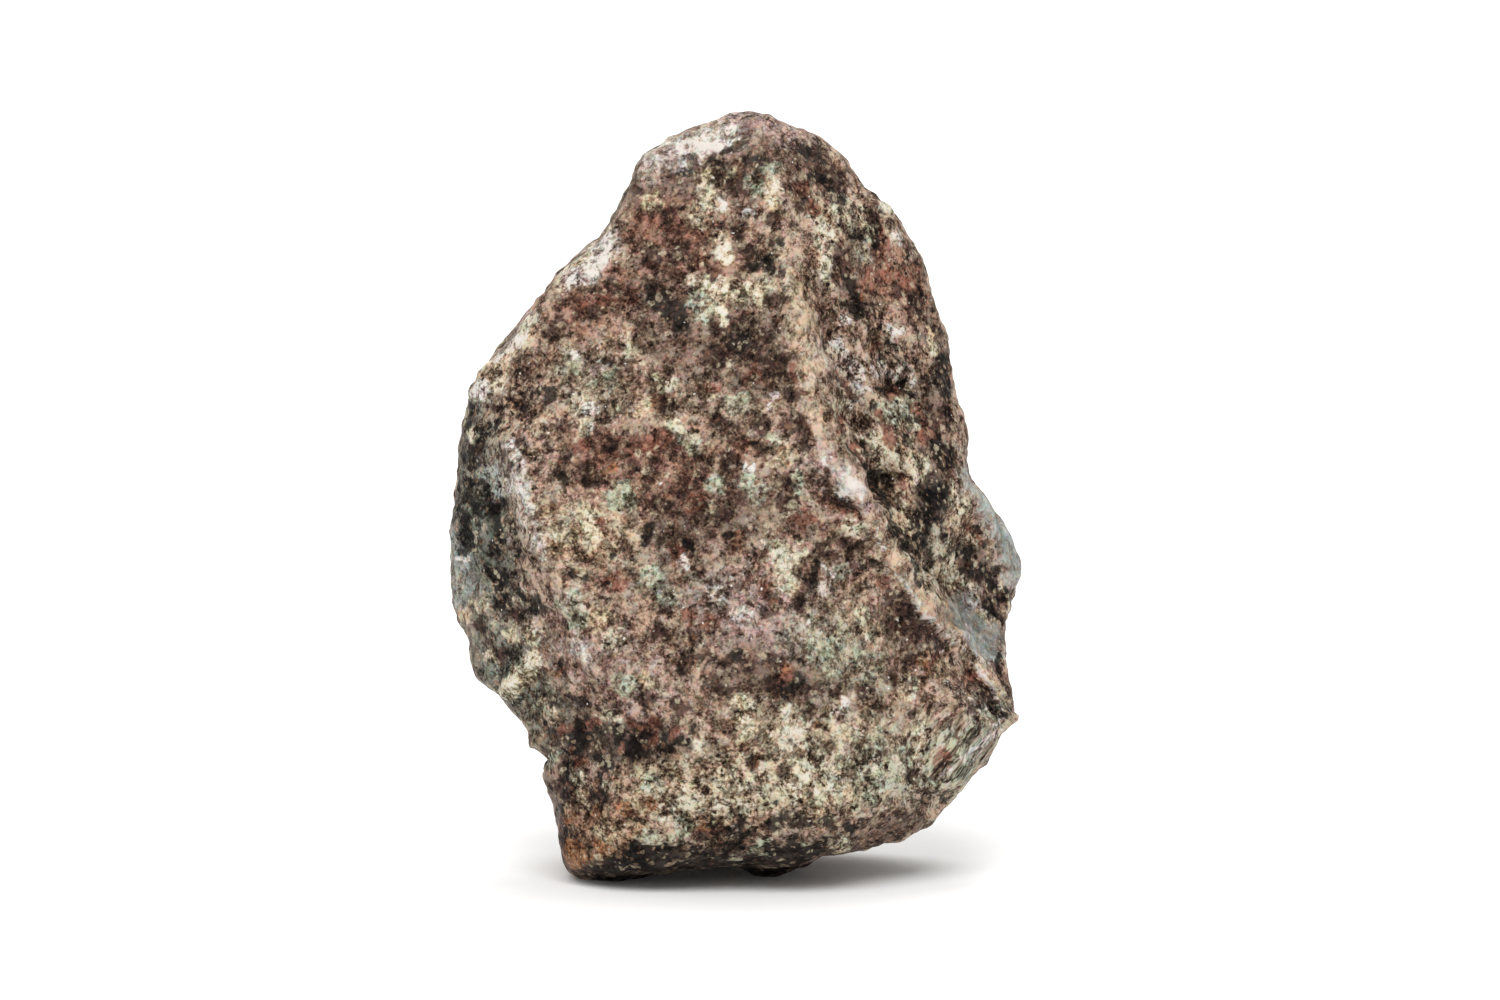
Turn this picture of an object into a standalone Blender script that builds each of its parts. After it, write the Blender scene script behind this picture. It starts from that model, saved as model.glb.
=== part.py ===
"""Stony meteorite: one weathered fragment of a chondrite, standing on the worn flats of its foot.

The stone is one solid. +X is to the right of its broad face, -Y is the way that face looks and +Z is up.
Every place below is drawn in millimetres on a stone 40 mm tall, and the whole is scaled to HEIGHT.
"""

import math

import bmesh
import bpy
import numpy as np
from mathutils import Matrix, Vector, noise

# Driving dimensions
HEIGHT = 0.040  # metres, foot to crown
SUBDIVISIONS = 6  # of the icosphere that is pushed out to the surface, 20480 triangles
TRIANGLES = 8600  # of the finished stone, about

# How the surface is worn, in millimetres on the drawn stone
ROUNDING = 0.30  # how softly two broken faces meet at an edge
LUMP_HEIGHT = 0.26  # the uneven lumps all over the surface
LUMP_SIZE = 4.5
CHIP_SIZE = 3.2  # the small chipped facets
CHIP_SLOPE = 0.08  # how far each leans from the face that it's in
CHIP_BEND = 0.5  # how crooked its edges run, as a share of its size
LEDGE_WIDTH = 0.15  # the slope between two chips, as a share of their size

# The look of the stone
COLOUR = (0.125, 0.086, 0.074)  # linear, the mean of its grey-brown mottling
ROUGHNESS = 0.55

# The heart of the stone. Every point of the surface can be seen from it.
HEART = (0.0, 1.5, 18.0)

# The rim: the closed line where the stone turns from its front to its back, from the crown to the right and round.
RIM = (
    (0.7, 0.5, 40.0), (2.6, 0.5, 39.5), (5.2, 0.5, 38.0), (6.5, 0.3, 36.1), (8.2, 0.0, 34.9),
    (9.5, -0.3, 32.5), (10.4, -0.6, 29.6), (11.2, -0.6, 25.8), (12.1, -0.2, 23.2), (12.0, 0.6, 21.1),
    (13.3, 1.9, 19.1), (15.2, 2.8, 16.2), (14.9, 2.4, 14.5), (14.1, 0.8, 12.9), (14.2, -1.2, 10.8),
    (14.5, -2.2, 8.8), (13.6, -2.2, 7.0), (12.0, -1.4, 4.7), (10.0, -0.8, 2.8), (7.2, 0.0, 1.7),
    (4.6, 0.6, 1.0), (2.0, 1.0, 0.3), (-1.9, 0.4, 0.5), (-4.5, -0.8, 0.1), (-7.2, -1.4, -0.2),
    (-8.8, -1.2, 1.0), (-9.4, -0.8, 3.2), (-9.9, -0.5, 4.8), (-10.4, -0.4, 5.9), (-10.4, -0.3, 6.6),
    (-12.0, 0.2, 9.1), (-13.7, 0.7, 10.7), (-13.9, 0.9, 12.2), (-14.8, 1.2, 14.0), (-15.0, 1.4, 16.6),
    (-14.9, 1.5, 19.8), (-14.4, 1.5, 23.4), (-13.6, 1.2, 26.0), (-11.5, 1.0, 28.4), (-9.9, 0.9, 30.5),
    (-8.7, 0.8, 32.0), (-6.8, 0.7, 33.7), (-5.8, 0.6, 35.8), (-5.0, 0.5, 37.4), (-3.4, 0.4, 38.6),
)
RIM_POWER = 2.8  # 2 is an ellipsoid across the rim, and more is squarer
DEPTH = 12.5  # from the rim to the nearest and the farthest that the stone could reach

# The broken faces, each as three places on it. First the front, then the back, which the photograph doesn't show.
FACES = {
    "broad face, top": ((1.2, -2.6, 37.4), (4.0, -6.4, 25.0), (-8.5, -2.8, 29.5)),
    "broad face, middle": ((4.0, -6.4, 25.0), (-1.0, -8.9, 15.5), (-9.8, -4.9, 21.5)),
    "broad face, right": ((4.0, -6.4, 25.0), (8.9, -5.1, 16.6), (-1.0, -8.9, 15.5)),
    "broad face, low right": ((8.9, -5.1, 16.6), (14.0, -2.4, 9.6), (3.0, -8.7, 10.0)),
    "broad face, low left": ((-1.0, -8.9, 15.5), (-8.4, -6.4, 15.0), (-5.0, -7.7, 7.0)),
    "right face, top": ((1.2, -2.6, 37.4), (4.0, -6.4, 25.0), (11.6, -0.9, 28.0)),
    "right face, low": ((4.0, -6.4, 25.0), (8.9, -5.1, 16.6), (12.2, -0.6, 22.0)),
    "low band": ((-4.0, -8.2, 7.4), (5.0, -8.4, 7.4), (0.0, -6.6, 1.9)),
    "low band, right": ((14.9, -2.0, 9.4), (6.0, -8.0, 6.2), (10.4, -1.2, 2.2)),
    "under the low band": ((-3.0, -6.6, 1.9), (5.0, -6.4, 1.9), (0.0, -2.6, 0.1)),
    "left cheek": ((-9.8, -4.9, 21.5), (-8.4, -6.4, 14.0), (-15.2, 0.6, 17.0)),
    "left cheek, low": ((-8.4, -6.4, 14.0), (-14.8, 0.2, 12.0), (-9.6, -3.4, 4.0)),
    "left cheek, high": ((-9.8, -4.9, 21.5), (-14.9, 0.8, 22.5), (-9.6, -2.6, 29.0)),
    "crown": ((1.2, -2.6, 37.4), (-3.6, -2.0, 36.8), (-1.0, 0.6, 39.6)),
    "crown, right": ((1.2, -2.6, 37.4), (5.8, -0.4, 36.8), (2.4, 0.8, 40.0)),
    "back, top": ((0.0, 2.6, 38.4), (-7.5, 7.0, 27.0), (8.0, 6.2, 27.0)),
    "back, left": ((-7.5, 7.0, 27.0), (-14.9, 4.4, 18.0), (-4.0, 12.0, 15.0)),
    "back, right": ((8.0, 6.2, 27.0), (14.9, 5.4, 16.0), (3.0, 11.8, 16.0)),
    "back, middle": ((-4.0, 12.0, 15.0), (3.0, 11.8, 16.0), (0.0, 8.4, 27.0)),
    "back, low left": ((-4.0, 12.0, 13.0), (-14.0, 5.2, 11.0), (-4.0, 9.0, 0.6)),
    "back, low right": ((-2.0, 12.2, 13.0), (13.9, 5.4, 12.0), (4.0, 8.8, 0.6)),
    "underside": ((-8.0, -1.0, 0.6), (3.0, -1.6, 0.75), (0.0, 7.0, 0.8)),
}

# Scoops broken out of the stone, each as the line that a ball is drawn along and the ball's radius.
SCOOPS = {
    "valley by the spur": ((19.8, -6.6, 15.4), (23.6, -7.4, 12.4), 10.4),
    "behind the notch": ((11.4, -4.2, 38.4), (11.6, -4.4, 33.4), 4.2),
    "shoulder, upper left": ((-10.6, -3.4, 36.6), (-12.6, -5.0, 31.6), 3.6),
    "over the foot, left": ((-15.4, -4.4, 4.4), (-14.2, 4.8, 4.2), 4.6),
    "thumbprint, back left": ((-8.0, 14.0, 22.4), (-5.4, 15.8, 19.4), 7.0),
    "thumbprint, back right": ((5.6, 11.8, 28.6), (7.6, 13.4, 24.0), 5.6),
    "thumbprint, back low": ((3.0, 16.2, 9.0), (7.4, 14.4, 9.6), 6.2),
}

# Swellings and hollows, as the line they follow, their width and their height (- is a hollow).
SWELLS = {
    "ridge, top": ((2.0, -3.6, 35.0), (3.8, -6.2, 26.0), 1.1, 0.30),
    "ridge, low": ((4.0, -6.6, 25.0), (13.4, -3.0, 10.4), 1.2, 0.45),
    "lump on the ridge": ((6.0, -6.6, 21.2), (6.6, -6.5, 20.4), 1.6, 0.55),
    "groove by the ridge": ((6.0, -4.6, 27.0), (8.6, -4.2, 20.0), 1.0, -0.45),
    "pit": ((8.4, -3.2, 26.9), (8.9, -2.8, 26.0), 1.2, -0.70),
    "hollow under the lump": ((5.2, -8.3, 17.6), (8.0, -6.9, 14.6), 1.8, -0.40),
    "hollow over the foot": ((-8.2, -6.2, 8.6), (-5.0, -7.4, 8.6), 2.2, -0.50),
    "soft ridge of the cheek": ((-11.6, -3.4, 22.4), (-9.0, -6.0, 15.6), 1.4, 0.30),
    "foot, left": ((-7.4, -0.8, 0.5), (-6.0, -1.0, 0.5), 1.7, 1.0),
    "foot, middle": ((1.6, -0.4, 0.6), (2.4, 1.2, 0.6), 1.3, 1.15),
    "foot, back": ((-0.6, 6.6, 0.6), (0.8, 6.8, 0.6), 1.9, 1.2),
}


def plane_of(places):
    """The plane through three places, as one of them and the unit vector that points out of the stone."""
    a, b, c = np.array(places)
    out = np.cross(b - a, c - a)
    out /= np.linalg.norm(out)
    return a, out if out @ (a - HEART) > 0 else -out


def closed_curve(points, steps=12):
    """A smooth closed curve through the points, in cubic stretches of this many steps."""
    p = np.array(points)
    t = (np.arange(steps) / steps)[:, None, None]
    a, b, c, d = (np.roll(p, shift, axis=0)[None] for shift in (1, 0, -1, -2))
    curve = b + 0.5 * t * (c - a + t * (2 * a - 5 * b + 4 * c - d + t * (3 * (b - c) + d - a)))
    return curve.transpose(1, 0, 2).reshape(-1, 3)


def rim_at(angle):
    """How far from the heart the rim is, and how deep, at an angle round the viewer's axis."""
    x, y, z = closed_curve(RIM).T
    along = np.arctan2(z - HEART[2], x - HEART[0])
    reach = np.hypot(z - HEART[2], x - HEART[0])
    order = np.argsort(along)
    whole = 2 * math.pi
    return (
        np.interp(angle, along[order], reach[order], period=whole),
        np.interp(angle, along[order], y[order], period=whole),
    )


def from_line(points, start, end):
    """The distance of each point from the line between two places."""
    start, end = np.array(start), np.array(end)
    way = end - start
    share = np.clip((points - start) @ way / (way @ way), 0, 1)
    return np.linalg.norm(points - start - share[:, None] * way, axis=1)


def depth_outside(points):
    """How far each point is outside the stone, below zero inside it."""
    x, _, z = (points - HEART).T
    reach, rim_depth = rim_at(np.arctan2(z, x))
    share = np.hypot(x, z) / reach
    y = points[:, 1] - rim_depth * np.minimum(share, 1) ** 2
    sides = [((share**RIM_POWER + np.abs(y / DEPTH) ** RIM_POWER) ** (1 / RIM_POWER) - 1) * reach]
    for places in FACES.values():
        at, out = plane_of(places)
        sides.append((points - at) @ out)
    for start, end, radius in SCOOPS.values():
        sides.append(radius - from_line(points, start, end))
    outside = ROUNDING * np.logaddexp.reduce(np.array(sides) / ROUNDING, axis=0)
    for start, end, width, height in SWELLS.values():
        outside -= height * np.exp(-((from_line(points, start, end) / width) ** 2))
    return outside


def reach_of(directions):
    """How far the surface is from the heart along each direction, found by halving."""
    near, far = np.zeros(len(directions)), np.full(len(directions), 30.0)
    for _ in range(24):
        middle = (near + far) / 2
        outside = depth_outside(HEART + directions * middle[:, None]) > 0
        near, far = np.where(outside, near, middle), np.where(outside, middle, far)
    return near


def unevenness(place):
    """How far the surface stands out at a place: soft lumps, and small chipped facets with ledges between them."""
    lumps = noise.fractal(place / LUMP_SIZE, 1.0, 2.0, 3, noise_basis="PERLIN_ORIGINAL")
    bent = place / CHIP_SIZE + CHIP_BEND * noise.turbulence_vector(place / LUMP_SIZE, 2, False)
    near, seeds = noise.voronoi(bent)
    lean = noise.cell_vector(seeds[0] * 50)  # any number over 1 tells one chip's seed from the next
    ledge = min((near[1] - near[0]) / LEDGE_WIDTH, 1.0)
    return LUMP_HEIGHT * lumps + CHIP_SLOPE * CHIP_SIZE * (bent - seeds[0]).dot(lean) * ledge


def shaped_stone():
    """The stone before it's cut to stand: an icosphere whose points are pushed out to its surface."""
    bm = bmesh.new()
    bmesh.ops.create_icosphere(bm, subdivisions=SUBDIVISIONS, radius=1.0)
    ways = [v.co.normalized() for v in bm.verts]
    for vert, way, reach in zip(bm.verts, ways, reach_of(np.array(ways))):
        place = Vector(HEART) + way * reach
        vert.co = place + way * unevenness(place)
    return bm


def with_fewer_triangles(bm, count):
    """The same shape with its flatter places drawn by fewer, larger triangles."""
    mesh = bpy.data.meshes.new("shaped stone")
    bm.to_mesh(mesh)
    bm.free()
    stone = bpy.data.objects.new("shaped stone", mesh)
    bpy.context.scene.collection.objects.link(stone)
    stone.modifiers.new("fewer triangles", "DECIMATE").ratio = count / len(mesh.polygons)
    fewer = bmesh.new()
    fewer.from_object(stone, bpy.context.evaluated_depsgraph_get())
    bpy.data.objects.remove(stone)
    return fewer


def cut_flat(bm):
    """The feet worn flat: all that is below z = 0 goes, and the cut is closed."""
    everything = bm.verts[:] + bm.edges[:] + bm.faces[:]
    cut = bmesh.ops.bisect_plane(
        bm, geom=everything, dist=1e-3, plane_co=(0, 0, 0), plane_no=(0, 0, -1), clear_outer=True
    )
    bmesh.ops.holes_fill(bm, edges=[e for e in cut["geom_cut"] if isinstance(e, bmesh.types.BMEdge)])
    bmesh.ops.triangulate(bm, faces=bm.faces[:])


def to_size(bm):
    """The stone in metres, HEIGHT tall, with the middle of its box over the origin."""
    places = np.array([v.co for v in bm.verts])
    low, high = places.min(axis=0), places.max(axis=0)
    middle = Vector((-(low[0] + high[0]) / 2, -(low[1] + high[1]) / 2, 0))
    scale = Matrix.Scale(HEIGHT / high[2], 4)
    bmesh.ops.transform(bm, matrix=scale @ Matrix.Translation(middle), verts=bm.verts[:])


def stony():
    """Weathered chondrite, brown and grey, with a dull shine where hands and sand have worn it."""
    material = bpy.data.materials.new("weathered chondrite")
    material.use_nodes = True
    surface = material.node_tree.nodes["Principled BSDF"]
    surface.inputs["Base Color"].default_value = (*COLOUR, 1)
    surface.inputs["Roughness"].default_value = ROUGHNESS
    surface.inputs["Metallic"].default_value = 0
    return material


def main():
    for old in list(bpy.data.objects):
        bpy.data.objects.remove(old)
    bm = with_fewer_triangles(shaped_stone(), TRIANGLES)
    cut_flat(bm)
    to_size(bm)
    bmesh.ops.recalc_face_normals(bm, faces=bm.faces[:])
    mesh = bpy.data.meshes.new("meteorite")
    bm.to_mesh(mesh)
    bm.free()
    mesh.materials.append(stony())
    bpy.context.scene.collection.objects.link(bpy.data.objects.new("meteorite", mesh))


if __name__ == "__main__":
    main()
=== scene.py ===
"""The looks of a stony meteorite: a broken, weathered lump of chondrite that stands on its foot."""
import math

import bpy
import numpy as np
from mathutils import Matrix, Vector, noise


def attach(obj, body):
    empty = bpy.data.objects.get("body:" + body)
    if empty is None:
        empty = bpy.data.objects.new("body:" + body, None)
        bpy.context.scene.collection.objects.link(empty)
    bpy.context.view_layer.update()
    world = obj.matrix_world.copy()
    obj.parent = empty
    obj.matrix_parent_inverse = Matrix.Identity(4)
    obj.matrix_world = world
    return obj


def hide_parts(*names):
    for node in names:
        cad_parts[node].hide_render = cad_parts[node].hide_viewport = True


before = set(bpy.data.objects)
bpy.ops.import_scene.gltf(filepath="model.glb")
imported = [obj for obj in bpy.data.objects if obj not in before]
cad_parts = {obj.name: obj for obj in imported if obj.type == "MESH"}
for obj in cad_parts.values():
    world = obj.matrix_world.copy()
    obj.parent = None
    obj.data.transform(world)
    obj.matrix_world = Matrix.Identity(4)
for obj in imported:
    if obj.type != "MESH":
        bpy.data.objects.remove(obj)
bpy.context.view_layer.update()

# The camera
# A macro telephoto that looks at the broad face from a little above the table, as in the photograph.
# Its distance and aim are in mm. The marks on the front of the stone are placed as it sees them.
MM = 0.001
EYE_HEIGHT = math.radians(6.0)
EYE_DISTANCE = 319.25
AIM = Vector((0.725, 0, 19.65))

bpy.ops.object.select_all(action="DESELECT")
bpy.ops.object.camera_add(
    location=(AIM + EYE_DISTANCE * Vector((0, -math.cos(EYE_HEIGHT), math.sin(EYE_HEIGHT)))) * MM,
    rotation=(math.radians(90) - EYE_HEIGHT, 0, 0),
)
camera = bpy.context.object
camera.data.lens = 146
camera.data.sensor_width = 36
camera.data.clip_start = 5 * MM
bpy.context.scene.camera = camera
bpy.context.view_layer.update()


# The stone, its shape
# One lump of chondrite, broken from a larger stone, then weathered and handled until its edges were round.
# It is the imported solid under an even, fine skin, on which the grain of the stone is raised.
SKIN = 0.20 * MM
SAME_PLACE = 0.001 * MM

bpy.ops.object.select_all(action="DESELECT")
stone = bpy.data.objects.new("stone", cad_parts["meteorite"].data.copy())
bpy.context.scene.collection.objects.link(stone)
bpy.context.view_layer.objects.active = stone
stone.select_set(True)
bpy.ops.object.mode_set(mode="EDIT")
bpy.ops.mesh.select_all(action="SELECT")
bpy.ops.mesh.remove_doubles(threshold=SAME_PLACE)
bpy.ops.object.mode_set(mode="OBJECT")
skin = stone.modifiers.new("even skin", "REMESH")
skin.mode = "VOXEL"
skin.voxel_size = SKIN
bpy.ops.object.modifier_apply(modifier=skin.name)
worn = stone.modifiers.new("worn edges", "SMOOTH")
worn.factor = 0.5
worn.iterations = 3
bpy.ops.object.modifier_apply(modifier=worn.name)

# What is raised on the skin is finer than a hand could pull, so its points are moved by sums, in mm.
mesh = stone.data
places = np.empty(len(mesh.vertices) * 3, np.float32)
mesh.vertices.foreach_get("co", places)
places = places.reshape(-1, 3).astype(float) / MM
outward = np.empty(len(mesh.vertices) * 3, np.float32)
mesh.vertex_normals.foreach_get("vector", outward)
outward = outward.reshape(-1, 3)


def lumpy(size, octaves, seed):
    """Lumps of this size in mm at each point of the skin, from about -1 to 1, each octave half as high."""
    shift = Vector((17.3, 5.1, 9.7)) * seed
    return np.array([
        noise.fractal(Vector(point) + shift, 1.0, 2.0, octaves, noise_basis="PERLIN_ORIGINAL")
        for point in places / size
    ])


def as_seen(points):
    """Where the camera sees each point: mm to the right and up, on the plane through the stone's middle."""
    turn = np.array(camera.matrix_world.to_3x3())
    ahead = (points - np.array(camera.location) / MM) @ turn
    near = EYE_DISTANCE / -ahead[:, 2]
    return np.stack([AIM.x + ahead[:, 0] * near, AIM.z + ahead[:, 1] * near / math.cos(EYE_HEIGHT)], axis=1)


def smooth(low, high, values):
    """0 below low, 1 above high, and an even S between them."""
    share = np.clip((values - low) / (high - low), 0, 1)
    return share * share * (3 - 2 * share)


def from_stroke(points, stroke):
    """How far each point is from a stroke (x, z, x, z), which may be as short as a dot."""
    start = np.array(stroke[:2])
    way = np.array(stroke[2:4]) - start
    share = np.clip((points - start) @ way / max(way @ way, 1e-9), 0, 1)
    return np.linalg.norm(points - start - share[:, None] * way, axis=1)


# Ridges, grooves and pits of the front, too sharp for the solid, each a stroke in mm as the camera sees it:
# (x, z, x, z, half width, height).
FORMS = [
    # The thin crest of the ridge.
    (2.8, 26.6, 4.5, 22.2, 0.35, 0.14), (4.5, 22.2, 6.4, 19.9, 0.35, 0.2),
    (6.4, 19.9, 8.1, 16.3, 0.35, 0.22), (8.1, 16.3, 9.8, 13.8, 0.35, 0.24),
    (9.8, 13.8, 11.2, 12.3, 0.35, 0.24), (11.2, 12.3, 13.9, 9.4, 0.35, 0.24),
    # The crack that runs along it.
    (5.9, 22.6, 7.5, 20.0, 0.35, -0.4), (7.5, 20.0, 8.9, 17.2, 0.35, -0.4),
    (8.9, 17.2, 10.4, 14.6, 0.3, -0.3),
    # The swelling under the crest, from the crown down to the corner.
    (1.0, 39.0, 2.0, 36.5, 1.0, 0.12), (2.0, 36.5, 2.6, 32.8, 0.9, 0.2), (2.6, 32.8, 3.2, 29.1, 0.9, 0.25),
    (3.2, 29.1, 4.7, 23.3, 0.9, 0.25), (4.7, 23.3, 6.0, 20.7, 1.0, 0.3), (6.0, 20.7, 8.9, 16.5, 0.8, 0.3),
    (8.9, 16.5, 11.7, 12.3, 0.7, 0.35), (11.7, 12.3, 13.4, 10.2, 0.6, 0.25),
    # The valley right of it.
    (4.6, 31.0, 5.2, 28.5, 0.7, -0.3), (5.2, 28.5, 6.5, 24.0, 0.7, -0.4), (6.5, 24.0, 7.9, 20.7, 0.6, -0.5),
    (7.9, 20.7, 10.4, 16.2, 0.7, -0.45), (10.4, 16.2, 12.6, 12.9, 0.6, -0.3),
    # The pits of the right face, with a small knob beside each of two.
    (5.8, 30.6, 6.0, 29.6, 0.5, -0.4), (7.8, 28.2, 8.6, 25.6, 0.6, -0.5), (7.9, 28.6, 8.4, 28.4, 0.3, 0.3),
    (5.5, 28.9, 6.0, 29.2, 0.35, 0.3), (9.6, 19.6, 10.2, 17.6, 0.6, -0.3),
    # The pit and the tip of the right-hand corner, and the groove at the root of the spur.
    (13.5, 8.6, 13.9, 8.4, 0.3, -0.4), (14.3, 8.1, 14.5, 8.1, 0.4, 0.35),
    (12.4, 18.6, 11.6, 15.2, 0.4, -0.4),
    # The left cheek: its low ridge, and the groove left of that.
    (-11.8, 22.6, -10.2, 17.0, 0.5, 0.3), (-12.9, 21.0, -11.6, 16.0, 0.5, -0.3),
    # A dent above the foot, a knob at the left edge, and dents of the crown and the lower face.
    (-6.9, 6.4, -8.6, 8.0, 0.5, -0.2), (-11.9, 9.8, -10.6, 11.2, 0.4, 0.35),
    (-4.2, 38.4, -1.0, 37.9, 0.4, -0.12), (2.6, 10.6, 3.4, 9.6, 0.5, -0.15),
    (-8.4, 5.0, -7.9, 2.8, 0.3, -0.25),
    # The notch in the left edge and the step above it.
    (-11.0, 5.6, -10.2, 6.0, 0.35, -0.6), (-11.0, 6.9, -10.4, 6.7, 0.5, 0.35),
]

# How far each point is turned to the camera: `front` ends where the camera no longer sees the stone, and
# `round_front` reaches some way round its edge.
view = np.array(camera.matrix_world.to_3x3())[:, 2]
front = smooth(-0.05, 0.25, outward @ view)
round_front = smooth(-0.6, 0.1, outward @ view)

# The forms of the front wander a little from their strokes, by up to WANDER mm, as no break is straight.
WANDER = 0.3
flat_seen = as_seen(places) + WANDER * np.stack([lumpy(0.9, 3, seed) for seed in (4, 5)], axis=1)
for *stroke, reach, height in FORMS:
    raised = height * round_front * np.exp(-((from_stroke(flat_seen, stroke) / reach) ** 2))
    places += outward * raised[:, None]

# The grain that stands out all over, as (size, octaves, seed, height).
GRAIN = [(1.7, 2, 6, 0.14), (0.8, 2, 7, 0.09), (0.45, 1, 8, 0.05)]
raised = sum(height * lumpy(size, octaves, seed) for size, octaves, seed, height in GRAIN)
places += outward * raised[:, None]

# Wide swellings of the back, with dips between them.
SWELLING = 0.3
DIP = 0.25
raised = (1 - round_front) * (SWELLING * lumpy(4.5, 3, 9) - DIP * np.abs(lumpy(6.0, 2, 10)))
places += outward * raised[:, None]


# Weathered chondrite, worn satin
# A stone of fine mineral grains that broke unevenly, rusted and was then rubbed by wind and hands. The eye
# sees a speckled, mottled face, rusty and darker in its hollows, partly by painted shade, with hardly any
# sheen, as the pores trap the light.

# How much each point lies in a hollow: dirt and rust stay there, and what stands out is rubbed pale.
# The hollows are also darkened as painted shade.
# The skin is evened out step by step, and how far it has then moved is taken after some of the steps.
TAKEN_AT = (4, 12, 40)
edges = np.empty(len(mesh.edges) * 2, np.int32)
mesh.edges.foreach_get("vertices", edges)
ends = np.concatenate([edges[0::2], edges[1::2]])
others = np.concatenate([edges[1::2], edges[0::2]])
around = np.bincount(ends, minlength=len(places))[:, None]
evened = places.copy()
hollow = np.zeros(len(places))
for step in range(1, max(TAKEN_AT) + 1):
    sums = [np.bincount(ends, evened[others, axis], len(places)) for axis in range(3)]
    evened = np.stack(sums, axis=1) / around
    if step in TAKEN_AT:
        depth = ((evened - places) * outward).sum(axis=1)
        hollow += depth / depth.std() / len(TAKEN_AT)

# Stains and clots end raggedly, as grains do, so each point looks them up to RAGGED mm beside itself.
RAGGED = 0.42
ragged = RAGGED * np.stack([lumpy(1.1, 5, seed) for seed in (1, 2, 3)], axis=1)
seen = as_seen(places) + ragged[:, :2]

# Right of the ridge, given as (z, x), the grains are a little narrower, as that face turns away.
RIDGE = [
    (5.0, 14.5), (9.7, 14.0), (12.3, 11.7), (16.5, 8.9), (20.7, 6.0), (23.3, 4.7), (29.1, 3.2), (32.8, 2.6),
    (36.5, 2.0), (39.4, 1.0),
]
NARROWED = 0.3
ridge_z, ridge_x = np.array(RIDGE).T
grain_place = places.copy()
past_ridge = np.clip(places[:, 0] - np.interp(places[:, 2], ridge_z, ridge_x), 0, 9)
grain_place[:, 0] += NARROWED * past_ridge * front

# Under the right-hand corner the grains are drawn out towards it, within about 4 mm of the band's middle.
BAND = (12.0, 6.3)
TO_CORNER = np.array((0.68, 0.73))
DRAWN_OUT = 0.6
from_band = seen - BAND
along = DRAWN_OUT * from_band @ TO_CORNER * front * smooth(4.2, 1.5, np.hypot(*from_band.T))
grain_place[:, 0] -= along * TO_CORNER[0]
grain_place[:, 2] -= along * TO_CORNER[1]


def linear(code):
    """A colour from its sRGB hex code, as the linear value that a shader takes."""
    parts = [int(code[i : i + 2], 16) / 255 for i in (1, 3, 5)]
    return [p / 12.92 if p <= 0.04045 else ((p + 0.055) / 1.055) ** 2.4 for p in parts] + [1]


# The stains of the stone, by the colour that the eye sees at arm's length.
STAINS = {
    "plain": "#7e695a",
    "black": "#14100e", "umber": "#35251f", "red": "#5f3d31", "rust": "#6f4b33", "tan": "#938068",
    "cream": "#9b907b", "sage": "#83816f", "slate": "#4b4d44", "film": "#81827d", "mauve": "#806b64",
    # The palest stain lies only where the stone faces the light from above: pale stone with painted light on
    # it.
    "lilac": "#9c9189", "white": "#bdb6b0", "chalk and top light": "#d2cbc4", "ivory": "#b3a88e",
}
NO_CLOT = -2.0
stain = np.tile(linear(STAINS["plain"])[:3], (len(places), 1))
clot_stain = stain.copy()
clot = np.full(len(places), NO_CLOT)


def paint(name, share):
    """Lays a wide stain over the skin, by how much of each point it covers."""
    stain[:] += share[:, None] * (np.array(linear(STAINS[name])[:3]) - stain)


def mark(name, inside):
    """Puts a clot of grains on the skin: 1 in its middle, 0 at its edge, less outside it."""
    own = inside > clot
    clot[own] = inside[own]
    clot_stain[own] = linear(STAINS[name])[:3]


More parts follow.
